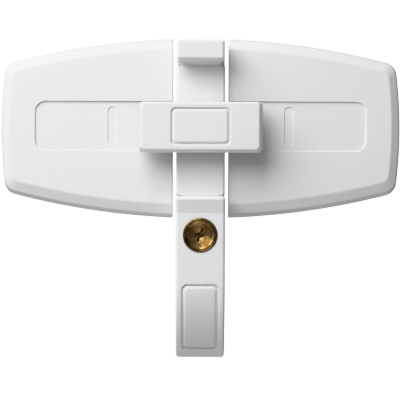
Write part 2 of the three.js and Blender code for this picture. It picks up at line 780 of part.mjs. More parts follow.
function crossbarCover() {
  const { rimHeight, faceHeight, ceiling } = CROSSBAR;
  const { halfLength, halfHeight, cornerRadius } = CROSSBAR_COVER_PLATE;
  const { grooveWidth, grooveDepth, plugInset } = CROSSBAR_COVER_PLATE;
  const groove = roundedRectangle(
    0, 0, halfLength + grooveWidth, halfHeight + grooveWidth, cornerRadius + grooveWidth / 2,
  );
  const opening = roundedRectangle(
    0, 0, halfLength - plugInset + GAP, halfHeight - plugInset + GAP, cornerRadius - 1,
  );
  const inside = crossbarShell(SHELL, ceiling, rimHeight - PAST);
  let cover = crossbarShell(0, faceHeight, rimHeight).subtract(inside);
  for (const side of SIDES) {
    const x = side * COVER_SCREW.x;
    const bossFront = ceiling + SHELL / 2;
    const boss = disc(COVER_SCREW.bossRadius, BEAM.front + GAP, bossFront, x, 0, SMALL_ROUND_STEPS);
    const hole = disc(COVER_SCREW.shank + GAP, rimHeight, ceiling, x, 0, SMALL_ROUND_STEPS);
    cover = cover.add(boss).subtract(hole);
  }
  return cover
    .subtract(slab(groove, faceHeight - grooveDepth, faceHeight + PAST))
    .subtract(slab(opening, ceiling - PAST, faceHeight + PAST));
}

// The blank that hides the pivot screw.
function crossbarScrewCover() {
  const { halfLength, halfHeight, cornerRadius, thickness, plugInset, plugDepth } = CROSSBAR_COVER_PLATE;
  const front = CROSSBAR.faceHeight;
  const plug = roundedRectangle(0, 0, halfLength - plugInset, halfHeight - plugInset, cornerRadius - 1);
  return slab(roundedRectangle(0, 0, halfLength, halfHeight, cornerRadius), front - thickness, front)
    .add(slab(plug, front - plugDepth, front - thickness / 2));
}

function coverScrew() {
  const { head, shank, tip } = COVER_SCREW;
  const seat = BEAM.back + head - shank;
  return taper(head, shank, BEAM.back, seat, 0, 0, SMALL_ROUND_STEPS)
    .add(disc(shank, seat - JOIN, tip, 0, 0, SMALL_ROUND_STEPS));
}

const WASHER = { radius: 6.4, hole: 2.4, back: 24, thickness: 0.6, cone: 0.3 };

function springWasher() {
  const { radius, hole, back, thickness, cone } = WASHER;
  return turned([
    [hole, back + cone], [radius, back], [radius, back + thickness], [hole, back + cone + thickness],
    [hole, back + cone],
  ]);
}

function pivotScrew() {
  const { threadRadius, threadFloor, screwHead, screwHeadHeight } = PIVOT;
  const seat = WASHER.back + WASHER.cone + WASHER.thickness + GAP;
  return panScrew(screwHead, threadRadius - GAP, threadFloor + PAST, seat, seat + screwHeadHeight);
}

function crossbarPieces() {
  const group = new THREE.Group();
  group.add(piece('pivot_post', pivotPost(), STEEL));
  group.add(piece('pivot_hub', pivotHub(), STEEL));
  group.add(piece('index_disc', indexDisc(), STEEL));
  group.add(piece('crossbar_beam', crossbarBeam(), STEEL));
  group.add(piece('crossbar_cover', crossbarCover(), WHITE_PLASTIC));
  group.add(piece('crossbar_screw_cover', crossbarScrewCover(), WHITE_PLASTIC));
  group.add(piece('pivot_spring_washer', springWasher(), DARK_STEEL));
  group.add(piece('pivot_screw', pivotScrew(), DARK_STEEL));
  group.add(piece('left_cover_screw', coverScrew(), DARK_STEEL, -COVER_SCREW.x));
  group.add(piece('right_cover_screw', coverScrew(), DARK_STEEL, COVER_SCREW.x));
  return group;
}

// ---------------------------------------------------------------- key cylinder and slide

function cylinderBody() {
  const { radius, rimHeight, back, counterRadius, counterFloor, boreRadius } = CYLINDER;
  const { clipGrooveRadius, clipGrooveBack, clipGrooveFront, rimEdge } = CYLINDER;
  return turned([
    [boreRadius, back], [radius, back], [radius, clipGrooveBack], [clipGrooveRadius, clipGrooveBack],
    [clipGrooveRadius, clipGrooveFront], [radius, clipGrooveFront], [radius, rimHeight - rimEdge],
    [radius - rimEdge, rimHeight], [counterRadius, rimHeight], [counterRadius, counterFloor],
    [boreRadius, counterFloor], [boreRadius, back],
  ]);
}

// A zigzag slot, as tall as the key's blade.
const KEYWAY_HALF_WIDTH = 0.7;
const KEYWAY_MIDDLE = [[-0.9, -4], [-0.9, -2.2], [0.9, -0.8], [-0.5, 0.9], [0.8, 2.2], [0.8, 4]];

function keyway() {
  const right = KEYWAY_MIDDLE.map(([x, y]) => [x + KEYWAY_HALF_WIDTH, y]);
  const left = KEYWAY_MIDDLE.map(([x, y]) => [x - KEYWAY_HALF_WIDTH, y]).reverse();
  return polygon([...right, ...left]);
}

function cylinderPlug() {
  const { faceRadius, faceHeight, dishHeight, dishRadius, flangeBack, radius, back } = PLUG;
  const { tailBack, tailHalfWidth, tailHalfThickness, keywayBack } = PLUG;
  const slotReach = WAFER.halfWidth + GAP;
  let plug = turned([
    [0, back], [radius, back], [radius, flangeBack], [faceRadius, flangeBack], [faceRadius, faceHeight],
    [faceRadius - CYLINDER.rimEdge, faceHeight], [dishRadius, dishHeight], [0, dishHeight],
  ]);
  plug = plug.add(block(
    -tailHalfWidth, tailHalfWidth, -tailHalfThickness, tailHalfThickness, tailBack, back + PAST,
  ));
  plug = plug.subtract(slab(keyway(), keywayBack, faceHeight + PAST));
  for (let index = 0; index < WAFER.count; index += 1) {
    const from = WAFER.first + index * WAFER.pitch - GAP;
    const to = from + WAFER.thickness + 2 * GAP;
    plug = plug.subtract(block(-slotReach, slotReach, -radius - PAST, radius + PAST, from, to));
  }
  return plug;
}

// A wafer tumbler: a plate with a window that the key passes through.
function wafer(step) {
  const { halfWidth, halfHeight, thickness } = WAFER;
  const { cornerRadius, sideWall, endWall, windowRadius } = WAFER;
  const outline = roundedRectangle(0, 0, halfWidth, halfHeight, cornerRadius);
  outline.holes.push(
    roundedRectangle(0, step, halfWidth - sideWall, halfHeight - endWall, windowRadius),
  );
  return slab(outline, 0, thickness);
}

function cylinderCam() {
  const { back, front, radius, pinRadius, pinBack, slotDepth } = CAM;
  const pinX = -CAM_THROW * Math.cos(HALF_KEY_TURN);
  const pinY = -CAM_THROW * Math.sin(HALF_KEY_TURN);
  const slotX = PLUG.tailHalfWidth + GAP;
  const slotY = PLUG.tailHalfThickness + GAP;
  return disc(radius, back, front)
    .add(disc(pinRadius, pinBack, back + 0.5, pinX, pinY, SMALL_ROUND_STEPS))
    .subtract(block(-slotX, slotX, -slotY, slotY, front - slotDepth, front + PAST));
}

// A horseshoe that slides into the cylinder's groove behind the housing's boss.
function cylinderClip() {
  const { halfSize, thickness, slotHalfWidth } = CLIP;
  const from = CYLINDER.clipGrooveBack + GAP;
  const to = from + thickness;
  return slab(roundedRectangle(0, 0, halfSize, halfSize, 2), from, to)
    .subtract(disc(slotHalfWidth, from - PAST, to + PAST))
    .subtract(block(-slotHalfWidth, slotHalfWidth, -halfSize - PAST, 0, from - PAST, to + PAST));
}

// The flat bolt that the cam pushes up into the index disc.
function lockSlide() {
  const { back, front, tip, tipHalfWidth, stemHalfWidth, headTop, headBottom, headHalfWidth } = SLIDE;
  const { headTaper, tipTaper, tipReach, slotClearance, travel } = SLIDE;
  const shoulder = tip - travel - tipReach;
  const rightEdge = [
    [headHalfWidth, headBottom], [headHalfWidth, headTop], [stemHalfWidth, headTop + headTaper],
    [stemHalfWidth, shoulder], [tipHalfWidth, shoulder + tipTaper], [tipHalfWidth, tip],
  ];
  const leftEdge = rightEdge.map(([x, y]) => [-x, y]).reverse();
  const outline = polygon([...rightEdge, ...leftEdge]);
  const pinReach = CAM.pinRadius + slotClearance;
  const slotY = CYLINDER.y - CAM_THROW * Math.sin(HALF_KEY_TURN);
  const slotLeft = -CAM_THROW - pinReach;
  const slotRight = pinReach - CAM_THROW * Math.cos(HALF_KEY_TURN);
  return slab(outline, back, front)
    .subtract(block(slotLeft, slotRight, slotY - pinReach, slotY + pinReach, 0, front + PAST));
}

const BRIDGE_SCREW = { x: 7.9, head: 1.5, shank: 0.8, hole: 1.1 };

// A strap screwed to the base that holds the slide down and keeps it straight.
function slideBridge() {
  const { y, halfHeight, legHalfWidth, footHalfWidth, top, footTop } = BRIDGE;
  const back = BAR_BASE.thickness + GAP;
  const tunnel = SLIDE.stemHalfWidth + GAP;
  let bridge = block(-footHalfWidth, footHalfWidth, y - halfHeight, y + halfHeight, back, footTop)
    .add(block(-legHalfWidth, legHalfWidth, y - halfHeight, y + halfHeight, back, top))
    .subtract(block(-tunnel, tunnel, y - halfHeight - PAST, y + halfHeight + PAST, 0, SLIDE.front + GAP));
  for (const side of SIDES) {
    const x = side * BRIDGE_SCREW.x;
    bridge = bridge.subtract(disc(BRIDGE_SCREW.hole, 0, footTop + PAST, x, y, SMALL_ROUND_STEPS));
  }
  return bridge;
}

function bridgeScrew() {
  const seat = BRIDGE.footTop + 0.1;
  return panScrew(BRIDGE_SCREW.head, BRIDGE_SCREW.shank, 2 * GAP, seat, seat + 1.1);
}

function lockPieces() {
  const group = new THREE.Group();
  const cylinder = new THREE.Group();
  cylinder.position.y = CYLINDER.y;
  cylinder.add(piece('cylinder_body', cylinderBody(), BRASS));
  cylinder.add(piece('cylinder_plug', cylinderPlug(), BRASS));
  for (let index = 0; index < WAFER.count; index += 1) {
    const height = WAFER.first + index * WAFER.pitch;
    cylinder.add(piece(`wafer_${index + 1}`, wafer(WAFER_STEPS[index]), BRASS, 0, 0, height));
  }
  cylinder.add(piece('cylinder_cam', cylinderCam(), STEEL));
  cylinder.add(piece('cylinder_clip', cylinderClip(), DARK_STEEL));
  group.add(cylinder);
  group.add(piece('lock_slide', lockSlide(), STEEL));
  group.add(piece('slide_bridge', slideBridge(), STEEL));
  group.add(piece('left_bridge_screw', bridgeScrew(), DARK_STEEL, -BRIDGE_SCREW.x, BRIDGE.y));
  group.add(piece('right_bridge_screw', bridgeScrew(), DARK_STEEL, BRIDGE_SCREW.x, BRIDGE.y));
  return group;
}

// ---------------------------------------------------------------- the whole lock

const windowLock = new THREE.Group();
windowLock.add(platePieces('left', -1));
windowLock.add(platePieces('right', 1));
windowLock.add(barPieces());
windowLock.add(crossbarPieces());
windowLock.add(lockPieces());
windowLock.rotation.x = Math.PI / 2;

export default windowLock;
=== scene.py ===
# A key-operated lock for a window of two sashes: a keeper plate on each sash, a lock bar on
# the stile between them and a crossbar that turns over both plates.
#
# Shapes are drawn in the wall's own frame, in millimetres: x to the right, y up, h out of
# the wall. place() turns that into the frame's metres, with +Z up and the front facing -Y.

import math
from types import SimpleNamespace

import bmesh
import bpy
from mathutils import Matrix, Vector


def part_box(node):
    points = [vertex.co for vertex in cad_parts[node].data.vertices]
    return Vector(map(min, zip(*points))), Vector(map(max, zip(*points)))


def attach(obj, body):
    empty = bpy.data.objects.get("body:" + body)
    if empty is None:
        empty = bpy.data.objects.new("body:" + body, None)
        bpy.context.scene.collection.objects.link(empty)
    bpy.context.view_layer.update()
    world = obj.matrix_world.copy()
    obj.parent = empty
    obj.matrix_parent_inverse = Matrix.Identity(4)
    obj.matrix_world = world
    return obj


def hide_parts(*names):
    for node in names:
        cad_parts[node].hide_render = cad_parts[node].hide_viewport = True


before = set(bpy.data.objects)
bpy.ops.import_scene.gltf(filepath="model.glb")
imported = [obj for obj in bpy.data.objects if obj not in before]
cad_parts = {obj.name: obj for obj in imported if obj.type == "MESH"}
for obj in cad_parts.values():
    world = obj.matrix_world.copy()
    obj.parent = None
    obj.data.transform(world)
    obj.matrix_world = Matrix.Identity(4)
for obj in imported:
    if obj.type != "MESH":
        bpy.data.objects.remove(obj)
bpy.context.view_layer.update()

MM = 0.001
SIDES = (-1, 1)      # left and right
CORNER_STEPS = 8
EDGE_STEPS = 6
ROUND_STEPS = 128
GAP = 0.3            # clearance between neighbouring pieces
SHELL = 2            # wall thickness of the hollow covers
PAST = 2             # how far a cutting tool runs past the face that it opens


def place(x, y, h):
    return Vector((x, -h, y)) * MM


def wall_box(node):
    """A CAD node's box in the wall's frame."""
    low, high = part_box(node)
    return SimpleNamespace(
        left=low.x / MM, right=high.x / MM,
        bottom=low.z / MM, top=high.z / MM,
        back=-high.y / MM, front=-low.y / MM,
    )


# ------------------------------------------------------------------ outlines

def arc(x, y, radius, start, end, steps):
    angles = [start + (end - start) * step / steps for step in range(steps + 1)]
    return [(x + radius * math.cos(angle), y + radius * math.sin(angle)) for angle in angles]


def rounded_rectangle(half_x, half_y, radius, x=0, y=0, steps=CORNER_STEPS):
    points = []
    for turn, (side_x, side_y) in enumerate([(1, 1), (-1, 1), (-1, -1), (1, -1)]):
        start = turn * math.pi / 2
        points += arc(
            x + side_x * (half_x - radius), y + side_y * (half_y - radius),
            radius, start, start + math.pi / 2, steps,
        )
    return points


def round_corners(points, radii, steps=CORNER_STEPS):
    """A closed polygon with an arc at every corner that has a radius."""
    corners = [Vector(point) for point in points]
    result = []
    for index, (corner, radius) in enumerate(zip(corners, radii)):
        if radius == 0:
            result.append(tuple(corner))
            continue
        before = (corners[index - 1] - corner).normalized()
        after = (corners[(index + 1) % len(corners)] - corner).normalized()
        half = before.angle(after) / 2
        reach = radius / math.tan(half)
        centre = corner + (before + after).normalized() * (radius / math.sin(half))
        first = corner + before * reach - centre
        last = corner + after * reach - centre
        turn = math.atan2(first.cross(last), first.dot(last))
        start = math.atan2(first.y, first.x)
        result += arc(centre.x, centre.y, radius, start, start + turn, steps)
    return result


def draw_in(points, distances):
    """Moves each edge of a closed polygon inwards. Edge i runs from point i to the next."""
    corners = [Vector(point) for point in points]
    count = len(corners)
    area = sum(corners[i - 1].cross(corners[i]) for i in range(count))
    side = 1 if area > 0 else -1
    result = []
    for index, corner in enumerate(corners):
        before = (corner - corners[index - 1]).normalized()
        after = (corners[(index + 1) % count] - corner).normalized()
        normal_before = Vector((-before.y, before.x)) * side
        normal_after = Vector((-after.y, after.x)) * side
        first, second = distances[index - 1], distances[index]
        cross = normal_before.cross(normal_after)
        if abs(cross) < 1e-3:
            result.append(tuple(corner + normal_before * first))
            continue
        move = Vector((
            (first * normal_after.y - second * normal_before.y) / cross,
            (second * normal_before.x - first * normal_after.x) / cross,
        ))
        result.append(tuple(corner + move))
    return result


# ------------------------------------------------------------------ meshes

def piece_of(name, bm):
    """Makes an object of a bmesh, smooth shaded, its faces pointing out."""
    bmesh.ops.recalc_face_normals(bm, faces=bm.faces)
    mesh = bpy.data.meshes.new(name)
    bm.to_mesh(mesh)
    bm.free()
    mesh.shade_smooth()
    piece = bpy.data.objects.new(name, mesh)
    bpy.context.scene.collection.objects.link(piece)
    return piece


def loft(name, rings):
    """A closed skin through rings of equally many (x, y, h) points, flat at both ends."""
    bm = bmesh.new()
    loops = [[bm.verts.new(place(*point)) for point in ring] for ring in rings]
    for lower, upper in zip(loops, loops[1:]):
        for index in range(len(lower)):
            bm.faces.new((lower[index - 1], lower[index], upper[index], upper[index - 1]))
    bm.faces.new(loops[0])
    bm.faces.new(loops[-1])
    return piece_of(name, bm)


def levels(outlines):
    """Rings for loft from (outline, height) pairs."""
    return [[(x, y, height) for x, y in outline] for outline, height in outlines]


def slab(name, outline, back, front):
    return loft(name, levels([(outline, back), (outline, front)]))


def block(name, left, right, bottom, top, back, front):
    outline = [(left, bottom), (right, bottom), (right, top), (left, top)]
    return slab(name, outline, back, front)


def disc(name, radius, back, front, x=0, y=0):
    circle = arc(x, y, radius, 0, 2 * math.pi, ROUND_STEPS)[:-1]
    return slab(name, circle, back, front)


def turned(name, profile, x=0, y=0, steps=ROUND_STEPS):
    """A closed (radius, height) profile turned about an axis out of the wall."""
    bm = bmesh.new()
    columns = []
    poles = {}
    for step in range(steps):
        angle = 2 * math.pi * step / steps
        column = []
        for index, (radius, height) in enumerate(profile):
            if radius > 0:
                column.append(bm.verts.new(place(
                    x + radius * math.cos(angle), y + radius * math.sin(angle), height,
                )))
            else:
                if index not in poles:
                    poles[index] = bm.verts.new(place(x, y, height))
                column.append(poles[index])
        columns.append(column)
    for step in range(steps):
        near, far = columns[step - 1], columns[step]
        for index in range(len(profile)):
            corners = [near[index - 1], near[index], far[index], far[index - 1]]
            distinct = list(dict.fromkeys(corners))
            if len(distinct) > 2:
                bm.faces.new(distinct)
    return piece_of(name, bm)


def across(name, outline_at, half_width, edge_radius, steps=EDGE_STEPS, lean=0.0):
    """Runs a side view of (y, h) points across the bar. outline_at draws it in by an inset,
    which rounds the side edges, and lean narrows the bar for each millimetre of height."""
    sections = []
    for step in range(steps + 1):
        angle = math.pi / 2 * step / steps
        outline = outline_at(edge_radius * (1 - math.sin(angle)))
        sections.append((half_width - edge_radius * (1 - math.cos(angle)), outline))
    rings = [[(lean * h - x, y, h) for y, h in outline] for x, outline in sections]
    rings += [[(x - lean * h, y, h) for y, h in outline] for x, outline in reversed(sections)]
    return loft(name, rings)


def carve(piece, tool, operation="DIFFERENCE"):
    """Cuts a tool out of a piece, or joins it on, and removes the tool."""
    modifier = piece.modifiers.new("carve", "BOOLEAN")
    modifier.object = tool
    modifier.operation = operation
    modifier.solver = "EXACT"
    bpy.context.view_layer.update()
    depsgraph = bpy.context.evaluated_depsgraph_get()
    mesh = bpy.data.meshes.new_from_object(piece.evaluated_get(depsgraph))
    piece.modifiers.clear()
    old = piece.data
    piece.data = mesh
    bpy.data.meshes.remove(old)
    bpy.data.objects.remove(tool)
    return piece


def join(piece, tool):
    return carve(piece, tool, "UNION")


def soften(piece, width, angle=40, segments=3):
    """Rounds the edges sharper than an angle and keeps flat faces flat in the shading."""
    bevel = piece.modifiers.new("soft edges", "BEVEL")
    bevel.width = width * MM
    bevel.segments = segments
    bevel.limit_method = "ANGLE"
    bevel.angle_limit = math.radians(angle)
    bevel.miter_outer = "MITER_ARC"
    bevel.harden_normals = False
    weighted = piece.modifiers.new("flat faces", "WEIGHTED_NORMAL")
    weighted.weight = 100
    weighted.keep_sharp = True
    return piece


def finished(piece, material, slot, body, *nodes):
    """Gives a piece its material and lets it ride on a body in place of nodes. The slot argument
    is not used.
    """
    piece.data.materials.clear()
    piece.data.materials.append(material)
    for polygon in piece.data.polygons:
        polygon.use_smooth = True
    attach(piece, body)
    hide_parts(*nodes)
    return piece


# ------------------------------------------------------------------ materials

NOISE_LOW = 0.3      # a noise node's value stays between these almost everywhere
NOISE_HIGH = 0.7


def map_range(nodes, source, target):
    """A Map Range node from one (low, high) pair to another."""
    node = nodes.new("ShaderNodeMapRange")
    for name, (low, high) in (("From", source), ("To", target)):
        node.inputs[name + " Min"].default_value = low
        node.inputs[name + " Max"].default_value = high
    return node


class Surface:
    """A Principled material whose detail comes from procedural nodes in object space."""

    def __init__(self, name, **sockets):
        self.material = bpy.data.materials.new(name)
        self.material.use_nodes = True
        self.nodes = self.material.node_tree.nodes
        self.links = self.material.node_tree.links
        self.shader = self.nodes["Principled BSDF"]
        for socket, value in sockets.items():
            self.shader.inputs[socket.replace("_", " ")].default_value = value
        self.position = self.nodes.new("ShaderNodeTexCoord").outputs["Object"]

    def stretched(self, centre=(0, 0, 0), scale=(1, 1, 1)):
        mapping = self.nodes.new("ShaderNodeMapping")
        mapping.inputs["Location"].default_value = [-c * s for c, s in zip(centre, scale)]
        mapping.inputs["Scale"].default_value = scale
        self.links.new(self.position, mapping.inputs["Vector"])
        return mapping.outputs["Vector"]

    def noise(self, scale, detail=2, vector=None):
        node = self.nodes.new("ShaderNodeTexNoise")
        node.inputs["Scale"].default_value = scale
        node.inputs["Detail"].default_value = detail
        self.links.new(vector or self.position, node.inputs["Vector"])
        return node.outputs["Fac"]

    def rings(self, scale, centre, distortion=0.0):
        node = self.nodes.new("ShaderNodeTexWave")
        node.wave_type = "RINGS"
        node.rings_direction = "Y"
        node.inputs["Scale"].default_value = scale
        node.inputs["Distortion"].default_value = distortion
        self.links.new(self.stretched(centre), node.inputs["Vector"])
        return node.outputs["Fac"]

    def colour(self, value, stops):
        ramp = self.nodes.new("ShaderNodeValToRGB")
        while len(ramp.color_ramp.elements) < len(stops):
            ramp.color_ramp.elements.new(0.5)
        for element, (position, colour) in zip(ramp.color_ramp.elements, stops):
            element.position = position
            element.color = (*colour, 1)
        self.links.new(value, ramp.inputs["Fac"])
        self.links.new(ramp.outputs["Color"], self.shader.inputs["Base Color"])

    def mottled(self, value, dark, light):
        self.colour(value, [(NOISE_LOW, dark), (NOISE_HIGH, light)])

    def roughness(self, value, low, high):
        spread = map_range(self.nodes, (NOISE_LOW, NOISE_HIGH), (low, high))
        self.links.new(value, spread.inputs["Value"])
        self.links.new(spread.outputs["Result"], self.shader.inputs["Roughness"])

    def bump(self, *layers):
        """Stacks (value, height in millimetres, strength) layers, the coarsest first."""
        normal = None
        for value, height, strength in layers:
            node = self.nodes.new("ShaderNodeBump")
            node.inputs["Distance"].default_value = height * MM
            node.inputs["Strength"].default_value = strength
            self.links.new(value, node.inputs["Height"])
            if normal:
                self.links.new(normal, node.inputs["Normal"])
            normal = node.outputs["Normal"]
        self.links.new(normal, self.shader.inputs["Normal"])

    def turned_marks(self):
        """Stretches highlights round the wall's own axis, as tool marks do."""
        tangent = self.nodes.new("ShaderNodeTangent")
        tangent.direction_type = "RADIAL"
        tangent.axis = "Y"
        self.links.new(tangent.outputs["Tangent"], self.shader.inputs["Tangent"])


def moulded_plastic():
    surface = Surface("white moulded plastic", Specular_IOR_Level=0.42)
    cloud = surface.noise(16, 3)
    grain = surface.noise(1500, 3)
    surface.mottled(cloud, (0.800, 0.802, 0.800), (0.835, 0.836, 0.832))
    surface.roughness(surface.noise(420, 4), 0.42, 0.58)
    surface.bump((surface.noise(90, 2), 0.02, 0.25), (grain, 0.02, 0.35))
    return surface.material


def powder_coat():
    surface = Surface("white powder coat", Specular_IOR_Level=0.5)
    surface.mottled(surface.noise(22, 3), (0.842, 0.848, 0.850), (0.87, 0.874, 0.874))
    surface.roughness(surface.noise(260, 3), 0.34, 0.46)
    surface.bump((surface.noise(480, 2), 0.03, 0.4), (surface.noise(2200, 2), 0.008, 0.3))
    return surface.material


def zinc_steel():
    surface = Surface("zinc plated steel", Metallic=1.0)
    grain = surface.noise(55, 4, surface.stretched(scale=(1, 6, 30)))
    surface.mottled(surface.noise(130, 4), (0.50, 0.51, 0.52), (0.64, 0.65, 0.66))
    surface.roughness(grain, 0.28, 0.46)
    surface.bump((surface.noise(300, 3), 0.02, 0.2), (grain, 0.01, 0.4))
    return surface.material


def dark_steel():
    surface = Surface("dull hardened steel", Metallic=1.0)
    surface.mottled(surface.noise(200, 5), (0.20, 0.205, 0.21), (0.34, 0.345, 0.35))
    surface.roughness(surface.noise(500, 3), 0.36, 0.55)
    surface.bump((surface.noise(700, 3), 0.01, 0.4))
    return surface.material


def turned_brass(name, centre, anisotropic, shades):
    """Brass with rings of tool marks about a centre, stained from the first shade to the last."""
    surface = Surface(name, Metallic=1.0, Anisotropic=anisotropic)
    stain = surface.noise(230, 5)
    surface.colour(stain, list(zip((0.36, 0.5, 0.64), shades)))
    surface.roughness(surface.noise(600, 3), 0.16, 0.34)
    surface.bump(
        (surface.noise(190, 2), 0.09, 0.6),
        (surface.rings(1100, centre, 0.4), 0.004, 0.5),
        (surface.noise(1600, 2), 0.01, 0.3),
    )
    surface.turned_marks()
    return surface.material


PLASTIC = moulded_plastic()
PAINT = powder_coat()
ZINC = zinc_steel()
DARK = dark_steel()


# ------------------------------------------------------------------ keeper plates

ARCH_RADIUS = 378
SIDE_RADIUS = 230
OUTER_CORNER = 7
FLAT_CORNER = 4.5
INNER_CORNER = 0.8
PLATE_BEVEL_FOOT = 9.8
PLATE_DRAFT = 1.7
PLATE_BEVEL = 4.86
PLATE_FLAT_LIFT = 0.41       # the flat sits above the middle, so the lower bevel is wider
PLATE_SIDE_BEVEL = 4.1
PLATE_FOOT_RADIUS = 1.6
PLATE_FLAT_RADIUS = 3
PLATE_INNER_ROUND = 0.6
INNER_ROUND_STEPS = 5
LEAST_RING_STEP = 0.03       # rings closer in height than this are left out
PLATE_CEILING = 9.4
RECESS_MIDDLE = 0.9
RECESS_END = 82.9
RECESS_HALF_HEIGHT = 12.45
RECESS_CORNER = 5.3
RECESS_DEPTH = 0.8
CAPSULE = SimpleNamespace(x=44.2, half_width=2.3, half_height=9.8, depth=0.4)
KEEPER_INNER = 17.8
KEEPER_OUTER = 24.7
KEEPER_HALF_WIDTH = 6


def circles_meet(centre_a, radius_a, centre_b, radius_b):
    """The upper of the two points where two circles meet."""
    between = centre_b - centre_a
    distance = between.length
    along = (distance ** 2 + radius_a ** 2 - radius_b ** 2) / (2 * distance)
    off = math.sqrt(radius_a ** 2 - along ** 2)
    between.normalize()
    return centre_a + along * between + off * Vector((-between.y, between.x))


def plate_outline(plate, inset, side_inset, inner, corner_radius):
    """A plate's arched outline: the upper half from the inner edge out, then its mirror."""
    middle = (plate.top + plate.bottom) / 2
    half_height = (plate.top - plate.bottom) / 2
    drop = ARCH_RADIUS - half_height
    arch = ARCH_RADIUS - inset
    side = SIDE_RADIUS - side_inset
    side_x = plate.right - SIDE_RADIUS
    corner = circles_meet(
        Vector((side_x, 0)), side - corner_radius, Vector((0, -drop)), arch - corner_radius,
    )
    inner_x = inner + INNER_CORNER
    arch_start = math.acos(inner_x / arch)
    inner_y = arch * math.sin(arch_start) - drop - INNER_CORNER
    arch_end = math.atan2(corner.y + drop, corner.x)
    side_end = math.atan2(corner.y, corner.x - side_x)
    upper = arc(inner_x, inner_y, INNER_CORNER, math.pi, math.pi / 2, 4)[:-1]
    upper += arc(0, -drop, arch, arch_start, arch_end, 24)[:-1]
    upper += arc(corner.x, corner.y, corner_radius, arch_end, side_end, 10)[:-1]
    upper += arc(side_x, 0, side, side_end, 0, 10)
    lower = [(x, -y) for x, y in reversed(upper[:-1])]
    return [(x, middle + y) for x, y in upper + lower]


def plate_section(front):
    """The bevelled edge in section, as (inset, height) points from the flat to the back."""
    corners = [
        (PLATE_DRAFT + PLATE_BEVEL + 10, front),
        (PLATE_DRAFT + PLATE_BEVEL, front),
        (PLATE_DRAFT, PLATE_BEVEL_FOOT),
        (0, 0),
    ]
    rounded = round_corners(corners, [0, PLATE_FLAT_RADIUS, PLATE_FOOT_RADIUS, 0])
    return rounded[1:]


def plate_cover(name, node, side):
    """A plate's shell with its recess, the sunk oval and the slot round the keeper."""
    box = wall_box(node)
    plate = SimpleNamespace(
        left=min(abs(box.left), abs(box.right)), right=max(abs(box.left), abs(box.right)),
        bottom=box.bottom, top=box.top, front=box.front,
    )
    section = plate_section(plate.front)
    slope = [(inset, height) for inset, height in section if height > PLATE_BEVEL_FOOT]
    for step in range(1, INNER_ROUND_STEPS + 1):
        turn = math.pi / 2 * step / INNER_ROUND_STEPS
        height = plate.front - PLATE_INNER_ROUND * (1 - math.cos(turn))
        part = (height - PLATE_BEVEL_FOOT) / (plate.front - PLATE_BEVEL_FOOT)
        if min(abs(height - other) for _, other in slope) > LEAST_RING_STEP:
            section.append((PLATE_DRAFT + PLATE_BEVEL * part, height))
    section.sort(key=lambda point: (-point[1], -point[0]))

    def ring(inset, height, wall=0):
        beyond = max(0, inset - wall - PLATE_DRAFT)
        side_inset = inset - beyond * (1 - PLATE_SIDE_BEVEL / PLATE_BEVEL)
        drop = max(0, height - (plate.front - PLATE_INNER_ROUND)) if wall == 0 else 0
        bulge = math.sqrt(PLATE_INNER_ROUND ** 2 - drop ** 2)
        inner = plate.left + wall + PLATE_INNER_ROUND - bulge
        share = min(1, max(0, (inset - wall) / (PLATE_DRAFT + PLATE_BEVEL)))
        corner = OUTER_CORNER + (FLAT_CORNER - OUTER_CORNER) * share
        outline = plate_outline(plate, inset, side_inset, inner, corner)
        lift = PLATE_FLAT_LIFT * min(1, beyond / PLATE_BEVEL)
        return [(side * x, y + lift, height) for x, y in outline]

    rings = [ring(inset, height) for inset, height in section]
    foot = PLATE_CEILING - (plate.front - PLATE_BEVEL_FOOT)
    rings += [
        ring(SHELL, 0, SHELL),
        ring(SHELL + PLATE_DRAFT, foot, SHELL),
        ring(SHELL + PLATE_DRAFT + PLATE_BEVEL, PLATE_CEILING, SHELL),
    ]
    cover = loft(name, rings)
    recess_floor = plate.front - RECESS_DEPTH
    recess = rounded_rectangle(RECESS_END, RECESS_HALF_HEIGHT, RECESS_CORNER, y=RECESS_MIDDLE)
    carve(cover, slab("recess", recess, recess_floor, plate.front + PAST))
    capsule = rounded_rectangle(
        CAPSULE.half_width, CAPSULE.half_height, CAPSULE.half_width - 0.01, side * CAPSULE.x,
        RECESS_MIDDLE,
    )
    carve(cover, slab("capsule", capsule, recess_floor - CAPSULE.depth, plate.front + PAST))
    keeper = wall_box(node.replace("plate_cover", "keeper"))
    reach = KEEPER_HALF_WIDTH + GAP
    left, right = sorted((side * (KEEPER_INNER - GAP), side * (KEEPER_OUTER + GAP)))
    slot = block("keeper slot", left, right, -reach, reach, keeper.back, keeper.front + PAST)
    carve(cover, slot)
    soften(cover, 0.22)
    return finished(cover, PLASTIC, "white_cover", "lock_body", node)


plate_cover("left_cover_shell", "left_plate_cover", -1)
plate_cover("right_cover_shell", "right_plate_cover", 1)


# ------------------------------------------------------------------ lock bar

BAR_EDGE = 1.4
OUTSIDE = 1                  # how far a cutting tool reaches beyond the bar's side
CAP_DRAFT = 1.9
CAP_LEAN = 0.016
CAP_RELIEF = 1.72            # the underside is cut back for the crossbar's swing
CAP_RELIEF_HEIGHT = 2.6
CAP_MITRE = 4.6
CAP_MITRE_TIP = 0.46
CAP_MITRE_SLOPE = 0.75
CAP_MITRE_DIP = 0.3
CAP_MITRE_START = 0.1
CLEFT = 1                    # the small dark notches beside the cap and the housing
CLEFT_RISE = 0.2
STRIP_WALL = 1.8
CHANNEL_INNER_EDGE = 0.4
TONGUE_HALF_WIDTH = 9.85
TONGUE_WALL = 1.8
TONGUE_BACK = 3.3
TONGUE_EDGE = 0.5
TONGUE_OVERLAP = 1
LEDGE_DROP = 2.4             # ledges behind the strip's ends close the gaps beside it
LEDGE_INSET = 0.1
LEDGE_EDGE = 0.3
LEDGE_OVERLAP = 0.2
NECK_HOLE = 7.6
LEAST_ROUND = 0.15
HOUSING_DRAFT = 0.9
HOUSING_FLAT = 26.5
FACET_FOOT = -42.3
